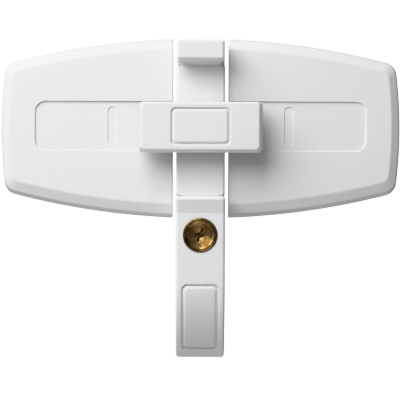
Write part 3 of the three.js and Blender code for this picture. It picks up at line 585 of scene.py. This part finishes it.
CURVE_START = -77.2
CURVE_RADIUS = 45
CURVE_STEPS = 28
LIP_RADIUS = 1.6
RIDGE_RADIUS = 0.9
FACET_RADIUS = 1.5
BOSS_BACK = HOUSING_FLAT - 9
BOSS_FRONT = HOUSING_FLAT - 1
BORE_CLEARANCE = 0.25

cap_box = wall_box("top_cap")
housing_box = wall_box("lock_housing")
channel_box = wall_box("bar_channel")
cylinder_box = wall_box("cylinder_body")
bar_half_width = cap_box.right
strip_front = channel_box.front
cylinder_y = (cylinder_box.bottom + cylinder_box.top) / 2
cylinder_radius = cylinder_box.right


def round_left(inset):
    """The share of a corner's rounding that is left in an outline drawn in by an inset."""
    return max(LEAST_ROUND, 1 - inset / BAR_EDGE)


def beside_bar(side, depth):
    """The left and right of a tool that cuts a depth into one side of the bar."""
    return sorted((side * (bar_half_width - depth), side * (bar_half_width + OUTSIDE)))


def along_bar(name, section, start, end):
    """A straight run of an (x, h) section between two heights on the wall."""
    return loft(name, [[(x, y, h) for x, h in section] for y in (start, end)])


def cap_outline(inset):
    """The cap's side view, with its underside cut back in front of the strip."""
    foot, top, front = cap_box.bottom, cap_box.top, cap_box.front
    corners = [
        (foot, 0), (foot, strip_front), (foot + CAP_RELIEF, strip_front + CAP_RELIEF_HEIGHT),
        (foot + CAP_DRAFT, front), (top - CAP_DRAFT, front), (top, 0),
    ]
    drawn = draw_in(corners, [inset * 0.3, inset, inset, inset, inset, 0])
    rest = round_left(inset)
    return round_corners(drawn, [0, 0, 0.5 * rest, 1.0 * rest + 0.1, 1.2 * rest + 0.1, 0])


def cap_mitre(side):
    """The wedge that is cut off one end of the cap's underside, narrower towards the front."""
    foot = cap_box.bottom - CAP_MITRE_START
    reach = bar_half_width + OUTSIDE
    ends = [
        (strip_front - CAP_MITRE_DIP, bar_half_width - CAP_MITRE),
        (cap_box.front, bar_half_width - CAP_MITRE_TIP),
    ]
    return loft("mitre", [
        [
            (side * near, foot, height),
            (side * reach, foot, height),
            (side * reach, foot + CAP_MITRE_SLOPE * (reach - near), height),
        ]
        for height, near in ends
    ])


def top_cap():
    cap = across("cap_shell", cap_outline, bar_half_width, BAR_EDGE, lean=CAP_LEAN)
    inside = bar_half_width - SHELL
    foot, top, front = cap_box.bottom, cap_box.top, cap_box.front
    carve(cap, block(
        "hollow", -inside, inside, foot + CAP_DRAFT + SHELL, top - CAP_DRAFT - SHELL,
        -PAST, front - SHELL,
    ))
    carve(cap, block(
        "tongue way", -inside, inside, foot - PAST, foot + 3 * SHELL, -PAST, strip_front + GAP,
    ))
    cleft_top = foot + CAP_RELIEF + CLEFT_RISE
    for side in SIDES:
        carve(cap, cap_mitre(side))
        left, right = beside_bar(side, CLEFT)
        carve(cap, block(
            "cleft", left, right, cleft_top - CLEFT, cleft_top,
            strip_front - 3 * CLEFT, strip_front + 2 * CLEFT,
        ))
    soften(cap, 0.25)
    return finished(cap, PLASTIC, "white_cover", "lock_body", "top_cap")


def channel_section(half_width, wall, back, front, edge):
    """A U-section, open at the back, as (x, h) points."""
    outside = [(-half_width, back), (-half_width, front), (half_width, front), (half_width, back)]
    within = half_width - wall
    inside = [(within, back), (within, front - wall), (-within, front - wall), (-within, back)]
    inner = CHANNEL_INNER_EDGE
    return round_corners(outside + inside, [0, edge, edge, 0, 0, inner, inner, 0])


def bar_channel():
    upper = cap_box.bottom - GAP
    lower = housing_box.top + GAP
    broad = channel_section(bar_half_width, STRIP_WALL, 0, strip_front, BAR_EDGE)
    strip = along_bar("strip_channel", broad, lower, upper)
    narrow = channel_section(TONGUE_HALF_WIDTH, TONGUE_WALL, TONGUE_BACK, strip_front, TONGUE_EDGE)
    join(strip, along_bar("tongue", narrow, channel_box.bottom, lower + TONGUE_OVERLAP))
    join(strip, along_bar("tongue", narrow, upper - TONGUE_OVERLAP, channel_box.top))
    ledge_front = strip_front - LEDGE_DROP
    for side in SIDES:
        left, right = beside_bar(side, CLEFT)
        carve(strip, block(
            "cleft", left, right, lower - PAST, lower + 0.7 * CLEFT,
            ledge_front, strip_front + PAST,
        ))
    ledge = channel_section(bar_half_width - LEDGE_INSET, STRIP_WALL, 0, ledge_front, LEDGE_EDGE)
    join(strip, along_bar("ledge", ledge, housing_box.top, lower + LEDGE_OVERLAP))
    join(strip, along_bar("ledge", ledge, upper - LEDGE_OVERLAP, cap_box.bottom))
    carve(strip, disc("neck hole", NECK_HOLE, strip_front - STRIP_WALL - PAST, strip_front + PAST))
    soften(strip, 0.2)
    return finished(strip, PAINT, "white_paint", "lock_body", "bar_channel")


def housing_corners():
    """The housing's side view: a ridge at the top, a facet, the flat and the curved front."""
    foot, bottom, front = housing_box.top, housing_box.bottom, housing_box.front
    sweep = math.asin((CURVE_START - bottom) / CURVE_RADIUS)
    curve = arc(
        CURVE_START, HOUSING_FLAT - CURVE_RADIUS, CURVE_RADIUS,
        math.pi / 2, math.pi / 2 + sweep, CURVE_STEPS,
    )
    corners = [
        (foot, 0), (foot, strip_front), (foot - HOUSING_DRAFT, front), (FACET_FOOT, HOUSING_FLAT),
    ]
    return corners + curve + [(bottom, 0)]


HOUSING_CORNERS = housing_corners()


def housing_outline(inset):
    """The housing's side view drawn in by an inset. The curve's last point but one is left out,
    which makes room for the rounded lip."""
    count = len(HOUSING_CORNERS)
    distances = [inset] * count
    distances[0] = 0.3 * inset
    distances[-1] = 0
    distances[-2] = 1.4 * inset
    drawn = draw_in(HOUSING_CORNERS, distances)
    rest = round_left(inset)
    radii = [0] * count
    radii[1] = 0.4
    radii[2] = RIDGE_RADIUS * rest + 0.1
    radii[3] = FACET_RADIUS
    radii[-2] = LIP_RADIUS
    del drawn[-3], radii[-3]
    return round_corners(drawn, radii)


def on_curve(u, v, w):
    """A place on the housing's curved front: u across it, v down along it, w out of it."""
    angle = v / CURVE_RADIUS
    reach = CURVE_RADIUS + w
    return (
        u,
        CURVE_START - reach * math.sin(angle),
        HOUSING_FLAT - CURVE_RADIUS + reach * math.cos(angle),
    )


BLANK = SimpleNamespace(
    face_half=7.2, foot_half=8.6, groove_half=8.85, mouth_half=9.4, depth=1.2,
    top=0.8, bottom=37.5, corner=2.6,
)
SIDE_STEPS = 14
BLANK_LIFT = 0.02            # keeps a blank clear of its pocket's floor


def long_outline(half_width, end_inset, corner, steps=CORNER_STEPS):
    """The lower blank's outline on the curve, with points down its sides so that it bends."""
    top = BLANK.top + end_inset
    bottom = BLANK.bottom - end_inset
    straight = bottom - top - 2 * corner
    stops = [top + corner + straight * k / SIDE_STEPS for k in range(1, SIDE_STEPS)]
    right = arc(half_width - corner, bottom - corner, corner, math.pi / 2, 0, steps)
    right += [(half_width, v) for v in reversed(stops)]
    right += arc(half_width - corner, top + corner, corner, 0, -math.pi / 2, steps)
    return right + [(-u, v) for u, v in reversed(right)]


def curved_loft(name, outlines):
    """A closed skin through (outline, height) pairs on the housing's curved front. Its two
    ends are strips of quads, because they bend with the front."""
    bm = bmesh.new()
    loops = [
        [bm.verts.new(place(*on_curve(u, v, w))) for u, v in outline]
        for outline, w in outlines
    ]
    count = len(loops[0])
    for lower, upper in zip(loops, loops[1:]):
        for index in range(count):
            bm.faces.new((lower[index - 1], lower[index], upper[index], upper[index - 1]))
    for loop in (loops[0], loops[-1]):
        for index in range(count // 2 - 1):
            bm.faces.new((loop[index], loop[index + 1], loop[-2 - index], loop[-1 - index]))
    return piece_of(name, bm)


def lock_housing():
    housing = across("housing_shell", housing_outline, bar_half_width, BAR_EDGE, steps=8)
    inside = bar_half_width - SHELL
    hollow = draw_in(HOUSING_CORNERS, [SHELL] * len(HOUSING_CORNERS))
    hollow[0] = (hollow[0][0], -PAST)
    hollow[-1] = (hollow[-1][0], -PAST)
    carve(housing, loft("hollow", [[(x, y, h) for y, h in hollow] for x in (-inside, inside)]))
    foot = housing_box.top
    carve(housing, block(
        "tongue way", -inside, inside, foot - 3 * SHELL, foot + PAST, -PAST, strip_front + GAP,
    ))
    join(housing, disc("boss", cylinder_radius + SHELL, BOSS_BACK, BOSS_FRONT, y=cylinder_y))
    bore_radius = cylinder_radius + BORE_CLEARANCE
    carve(housing, disc("bore", bore_radius, 0, housing_box.front + PAST, y=cylinder_y))
    pocket = curved_loft("pocket", [
        (long_outline(BLANK.groove_half, -0.3, BLANK.corner), -BLANK.depth),
        (long_outline(BLANK.mouth_half, -0.9, BLANK.corner + 0.3), 0),
        (long_outline(BLANK.mouth_half + 1.2, -2.1, BLANK.corner + 0.9), 2),
    ])
    carve(housing, pocket)
    opening = long_outline(BLANK.face_half - 1, 2.6, 1.2)
    carve(housing, curved_loft("opening", [(opening, -SHELL - 1.5), (opening, PAST)]))
    soften(housing, 0.25)
    return finished(housing, PAINT, "white_paint", "lock_body", "lock_housing")


def lower_blank():
    """A plug through the opening, a foot on the pocket's floor and a bevel up to the face."""
    face, foot = BLANK.face_half, BLANK.foot_half
    plug = long_outline(face - 1.3, 2.9, 1.0)
    base = long_outline(foot, 0, BLANK.corner)
    floor = -BLANK.depth + BLANK_LIFT
    blank = curved_loft("lower_blank", [
        (plug, -SHELL - 0.6),
        (plug, floor),
        (base, floor),
        (base, -BLANK.depth + 0.15),
        (long_outline(face + 0.35, foot - face - 0.35, BLANK.corner - 0.5), -0.2),
        (long_outline(face, foot - face, BLANK.corner - 0.6), -0.06),
        (long_outline(face - 0.4, foot - face + 0.4, BLANK.corner - 0.7), 0),
        (long_outline(face - 2.5, foot - face + 2.5, 1.0), 0),
    ])
    soften(blank, 0.12)
    return finished(blank, PLASTIC, "white_cover", "lock_body", "lower_screw_cover")


top_cap()
bar_channel()
lock_housing()
lower_blank()


# ------------------------------------------------------------------ crossbar

CROSS_END_DRAFT = 1.6
CROSS_SIDE_DRAFT = 0.7
CROSS_CORNER = 2.3
CROSS_EDGE = 1.1
CROSS_CEILING = 27.5
CROSS_FOOT = 0.25
CROSS_BLANK = SimpleNamespace(
    face=(12.9, 7.5), foot=(13.9, 8.5), groove=(14.1, 8.7), mouth=(14.75, 9.35),
    depth=1.2, corner=2,
)

cross_box = wall_box("crossbar_cover")


def cross_outline(part, inset):
    """The crossbar cover's outline part of the way up its drafted walls."""
    half_x = cross_box.right - CROSS_END_DRAFT * part - inset
    half_y = cross_box.top - CROSS_SIDE_DRAFT * part - inset
    return rounded_rectangle(half_x, half_y, CROSS_CORNER - 0.3 * inset)


def crossbar_cover():
    back, front = cross_box.back, cross_box.front
    sections = [(cross_outline(0, CROSS_FOOT), back), (cross_outline(0, 0), back + CROSS_FOOT)]
    for step in range(EDGE_STEPS + 1):
        angle = math.pi / 2 * step / EDGE_STEPS
        height = front - CROSS_EDGE * (1 - math.sin(angle))
        part = (height - back) / (front - back)
        sections.append((cross_outline(part, CROSS_EDGE * (1 - math.cos(angle))), height))
    sections.reverse()
    sections += [
        (cross_outline(0, SHELL), back),
        (cross_outline(0.9, SHELL), CROSS_CEILING),
    ]
    cover = loft("crossbar_shell", levels(sections))
    half_x, half_y = CROSS_BLANK.groove
    mouth_x, mouth_y = CROSS_BLANK.mouth
    floor = front - CROSS_BLANK.depth
    carve(cover, loft("pocket", levels([
        (rounded_rectangle(half_x, half_y, CROSS_BLANK.corner), floor),
        (rounded_rectangle(mouth_x, mouth_y, CROSS_BLANK.corner + 0.5), front),
        (rounded_rectangle(mouth_x + 1, mouth_y + 1, CROSS_BLANK.corner + 1), front + 2),
    ])))
    face_x, face_y = CROSS_BLANK.face
    opening = rounded_rectangle(face_x - 1.5, face_y - 1.5, 1.2)
    carve(cover, slab("opening", opening, CROSS_CEILING - PAST, front + PAST))
    soften(cover, 0.22)
    return finished(cover, PLASTIC, "white_cover", "crossbar", "crossbar_cover")


def crossbar_blank():
    front = cross_box.front
    face_x, face_y = CROSS_BLANK.face
    foot_x, foot_y = CROSS_BLANK.foot
    corner = CROSS_BLANK.corner
    base = front - CROSS_BLANK.depth + BLANK_LIFT
    plug = rounded_rectangle(face_x - 1.8, face_y - 1.8, 1)
    blank = loft("crossbar_blank", levels([
        (plug, CROSS_CEILING + 0.1),
        (plug, base),
        (rounded_rectangle(foot_x, foot_y, corner), base),
        (rounded_rectangle(foot_x, foot_y, corner), base + 0.12),
        (rounded_rectangle(face_x + 0.3, face_y + 0.3, corner - 0.3), front - 0.17),
        (rounded_rectangle(face_x, face_y, corner - 0.4), front - 0.05),
        (rounded_rectangle(face_x - 0.4, face_y - 0.4, corner - 0.5), front),
    ]))
    soften(blank, 0.1)
    return finished(blank, PLASTIC, "white_cover", "crossbar", "crossbar_screw_cover")


crossbar_cover()
crossbar_blank()


# ------------------------------------------------------------------ key cylinder

RIM_INNER = 7.4
RIM_FLOOR = 23.7
RIM_EDGE = 0.35
CLIP_GROOVE = SimpleNamespace(back=15.3, front=17.4, depth=0.65)
LIP = 0.25                   # the rim's inner edge and the plug's edge
CHAMFER = 0.2
BORE = 5.5
PLUG_FACE = 7.1
PLUG_RADIUS = 5.2
PLUG_FLANGE_BACK = 24
PLUG_FRONT = 26.4
PLUG_TAIL = SimpleNamespace(length=1.6, half_width=2.6, half_thickness=0.8)
DISH_CENTRE = 24.5
DISH_STEPS = 10
DISH_BORDER = 0.5
DISH_STEP_DOWN = 0.1
KEYWAY_HALF_WIDTH = 0.6
KEYWAY_FLOOR = 11.4
KEYWAY_MIDDLE = [(-1.0, -3.4), (-1.0, -1.7), (1.0, -0.5), (-0.9, 0.9), (0.9, 2.1), (0.9, 3.6)]

plug_box = wall_box("cylinder_plug")
cylinder_centre = place(0, cylinder_y, 0)
BRASS = turned_brass("turned brass", cylinder_centre, 0.5, [
    (0.17, 0.085, 0.022), (0.38, 0.22, 0.068), (0.60, 0.41, 0.16),
])
RIM_BRASS = turned_brass("rim brass", cylinder_centre, 0.3, [
    (0.12, 0.062, 0.018), (0.26, 0.15, 0.048), (0.48, 0.32, 0.12),
])


def cylinder_rim():
    radius, front, back = cylinder_radius, cylinder_box.front, cylinder_box.back
    groove_radius = radius - CLIP_GROOVE.depth
    profile = [
        (BORE, back), (radius - CHAMFER, back), (radius, back + CHAMFER),
        (radius, CLIP_GROOVE.back), (groove_radius, CLIP_GROOVE.back),
        (groove_radius, CLIP_GROOVE.front), (radius, CLIP_GROOVE.front),
    ]
    profile += arc(radius - RIM_EDGE, front - RIM_EDGE, RIM_EDGE, 0, math.pi / 2, 6)
    profile += arc(RIM_INNER + LIP, front - LIP, LIP, math.pi / 2, math.pi, 5)
    profile += [(RIM_INNER, RIM_FLOOR), (BORE, RIM_FLOOR)]
    rim = turned("cylinder_rim", profile, y=cylinder_y)
    soften(rim, 0.08, angle=50, segments=2)
    return finished(rim, RIM_BRASS, "brass", "lock_body", "cylinder_body")


def dish():
    """The plug's face, a shallow cone, from its edge to its centre as (radius, height) points."""
    radius = PLUG_FACE - DISH_BORDER
    depth = PLUG_FRONT - DISH_STEP_DOWN - DISH_CENTRE
    shares = [1 - step / DISH_STEPS for step in range(DISH_STEPS + 1)]
    return [(radius * share, DISH_CENTRE + depth * share) for share in shares]


def key_plug():
    back = plug_box.back + PLUG_TAIL.length
    profile = [(0, back), (PLUG_RADIUS - CHAMFER, back), (PLUG_RADIUS, back + CHAMFER)]
    profile += [(PLUG_RADIUS, PLUG_FLANGE_BACK), (PLUG_FACE, PLUG_FLANGE_BACK)]
    profile += arc(PLUG_FACE - LIP, PLUG_FRONT - LIP, LIP, 0, math.pi / 2, 5)
    profile += dish()
    plug = turned("key_plug_face", profile, y=cylinder_y)
    half_width, half_thickness = PLUG_TAIL.half_width, PLUG_TAIL.half_thickness
    join(plug, block(
        "tail", -half_width, half_width, cylinder_y - half_thickness, cylinder_y + half_thickness,
        plug_box.back, back + 1,
    ))
    right = [(x + KEYWAY_HALF_WIDTH, cylinder_y + y) for x, y in KEYWAY_MIDDLE]
    left = [(x - KEYWAY_HALF_WIDTH, cylinder_y + y) for x, y in reversed(KEYWAY_MIDDLE)]
    carve(plug, slab("keyway", right + left, KEYWAY_FLOOR, PLUG_FRONT + PAST))
    soften(plug, 0.1, angle=50, segments=2)
    return finished(plug, BRASS, "brass", "key_plug", "cylinder_plug")


cylinder_rim()
key_plug()


# ------------------------------------------------------------------ CAD pieces that stay

DARK_PIECES = ("screw", "rivet", "washer", "clip")


def material_for(name):
    if name.startswith("wafer"):
        return BRASS
    if any(word in name for word in DARK_PIECES):
        return DARK
    return ZINC


for name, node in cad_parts.items():
    if node.hide_render:
        continue
    for slot in node.material_slots:
        slot.material = material_for(name)
    soften(node, 0.12, angle=35, segments=2)


# ------------------------------------------------------------------ stage, light and camera

FLOOR_Z = -0.42
FLOOR_RADIUS = 1.45
CAMERA_X = -0.0002
CAMERA_HEIGHT = -0.036
CAMERA_DISTANCE = 0.712
CAMERA_ROLL = -0.0035
LENS = 126
KEY_DIRECTION = Vector((-0.75, -1.0, 1.12)).normalized()
KEY_DISTANCE = 0.75
KEY_SIZE = 0.78
KEY_POWER = 8.0
FILL_COLOUR = (0.98, 0.99, 1, 1)
FILL_BELOW = 0.02
FILL_ABOVE = 0.12
FILL_SPREAD = (-0.7, 0.7)    # the fill grows with the direction's Z over this range
FILL_BEHIND = 0.6
BEHIND_SPREAD = (0.45, 0.9)  # the fill from behind grows with the direction's Y over this range
BACKDROP_STRENGTH = 1.6
TONE_CURVE = [
    (0, 0), (0.35, 0.35), (0.7, 0.7), (0.84, 0.82), (1.0, 0.885), (1.25, 0.94), (1.6, 1.01),
]
COMBINED_CURVE = 3           # after the curves of red, green and blue


def stage_floor():
    bm = bmesh.new()
    bmesh.ops.create_circle(bm, cap_ends=True, segments=96, radius=FLOOR_RADIUS)
    mesh = bpy.data.meshes.new("floor")
    bm.to_mesh(mesh)
    bm.free()
    floor = bpy.data.objects.new("floor", mesh)
    floor.location = (0, 0, FLOOR_Z)
    bpy.context.scene.collection.objects.link(floor)
    surface = Surface("pale floor", Roughness=0.9)
    surface.mottled(surface.noise(3, 2), (0.74, 0.74, 0.735), (0.78, 0.78, 0.775))
    floor.data.materials.append(surface.material)


def key_light():
    light = bpy.data.lights.new("softbox", "AREA")
    light.shape = "DISK"
    light.size = KEY_SIZE
    light.energy = KEY_POWER
    lamp = bpy.data.objects.new("softbox", light)
    lamp.location = KEY_DIRECTION * KEY_DISTANCE + Vector((0, 0, CAMERA_HEIGHT))
    lamp.rotation_euler = KEY_DIRECTION.to_track_quat("Z", "Y").to_euler()
    bpy.context.scene.collection.objects.link(lamp)


def studio_world():
    """White to the camera's own rays, and to all others a soft grey fill, stronger from above
    and behind."""
    world = bpy.data.worlds.new("studio")
    bpy.context.scene.world = world
    world.use_nodes = True
    nodes, links = world.node_tree.nodes, world.node_tree.links
    fill = nodes["Background"]
    fill.inputs["Color"].default_value = FILL_COLOUR
    direction = nodes.new("ShaderNodeTexCoord")
    parts = nodes.new("ShaderNodeSeparateXYZ")
    spread = map_range(nodes, FILL_SPREAD, (FILL_BELOW, FILL_ABOVE))
    behind = map_range(nodes, BEHIND_SPREAD, (0, FILL_BEHIND))
    total = nodes.new("ShaderNodeMath")
    total.operation = "ADD"
    links.new(direction.outputs["Generated"], parts.inputs["Vector"])
    links.new(parts.outputs["Z"], spread.inputs["Value"])
    links.new(parts.outputs["Y"], behind.inputs["Value"])
    links.new(spread.outputs["Result"], total.inputs[0])
    links.new(behind.outputs["Result"], total.inputs[1])
    links.new(total.outputs["Value"], fill.inputs["Strength"])
    white = nodes.new("ShaderNodeBackground")
    white.inputs["Color"].default_value = (1, 1, 1, 1)
    white.inputs["Strength"].default_value = BACKDROP_STRENGTH
    path = nodes.new("ShaderNodeLightPath")
    mix = nodes.new("ShaderNodeMixShader")
    links.new(path.outputs["Is Camera Ray"], mix.inputs["Fac"])
    links.new(fill.outputs["Background"], mix.inputs[1])
    links.new(white.outputs["Background"], mix.inputs[2])
    links.new(mix.outputs["Shader"], nodes["World Output"].inputs["Surface"])


def camera():
    data = bpy.data.cameras.new("camera")
    data.lens = LENS
    eye = bpy.data.objects.new("camera", data)
    eye.location = (CAMERA_X, -CAMERA_DISTANCE, CAMERA_HEIGHT)
    eye.rotation_euler = (math.pi / 2, CAMERA_ROLL, 0)
    bpy.context.scene.collection.objects.link(eye)
    bpy.context.scene.camera = eye


def roll_off_highlights():
    """Eases the brightest tones below white, so that lit edges stay apart from the backdrop."""
    view = bpy.context.scene.view_settings
    view.view_transform = "Standard"
    view.use_curve_mapping = True
    view.curve_mapping.use_clip = False
    tone = view.curve_mapping.curves[COMBINED_CURVE]
    for point, place_on_curve in zip(tone.points, (TONE_CURVE[0], TONE_CURVE[-1])):
        point.location = place_on_curve
    for light, shown in TONE_CURVE[1:-1]:
        tone.points.new(light, shown)
    view.curve_mapping.update()


stage_floor()
key_light()
studio_world()
camera()
roll_off_highlights()
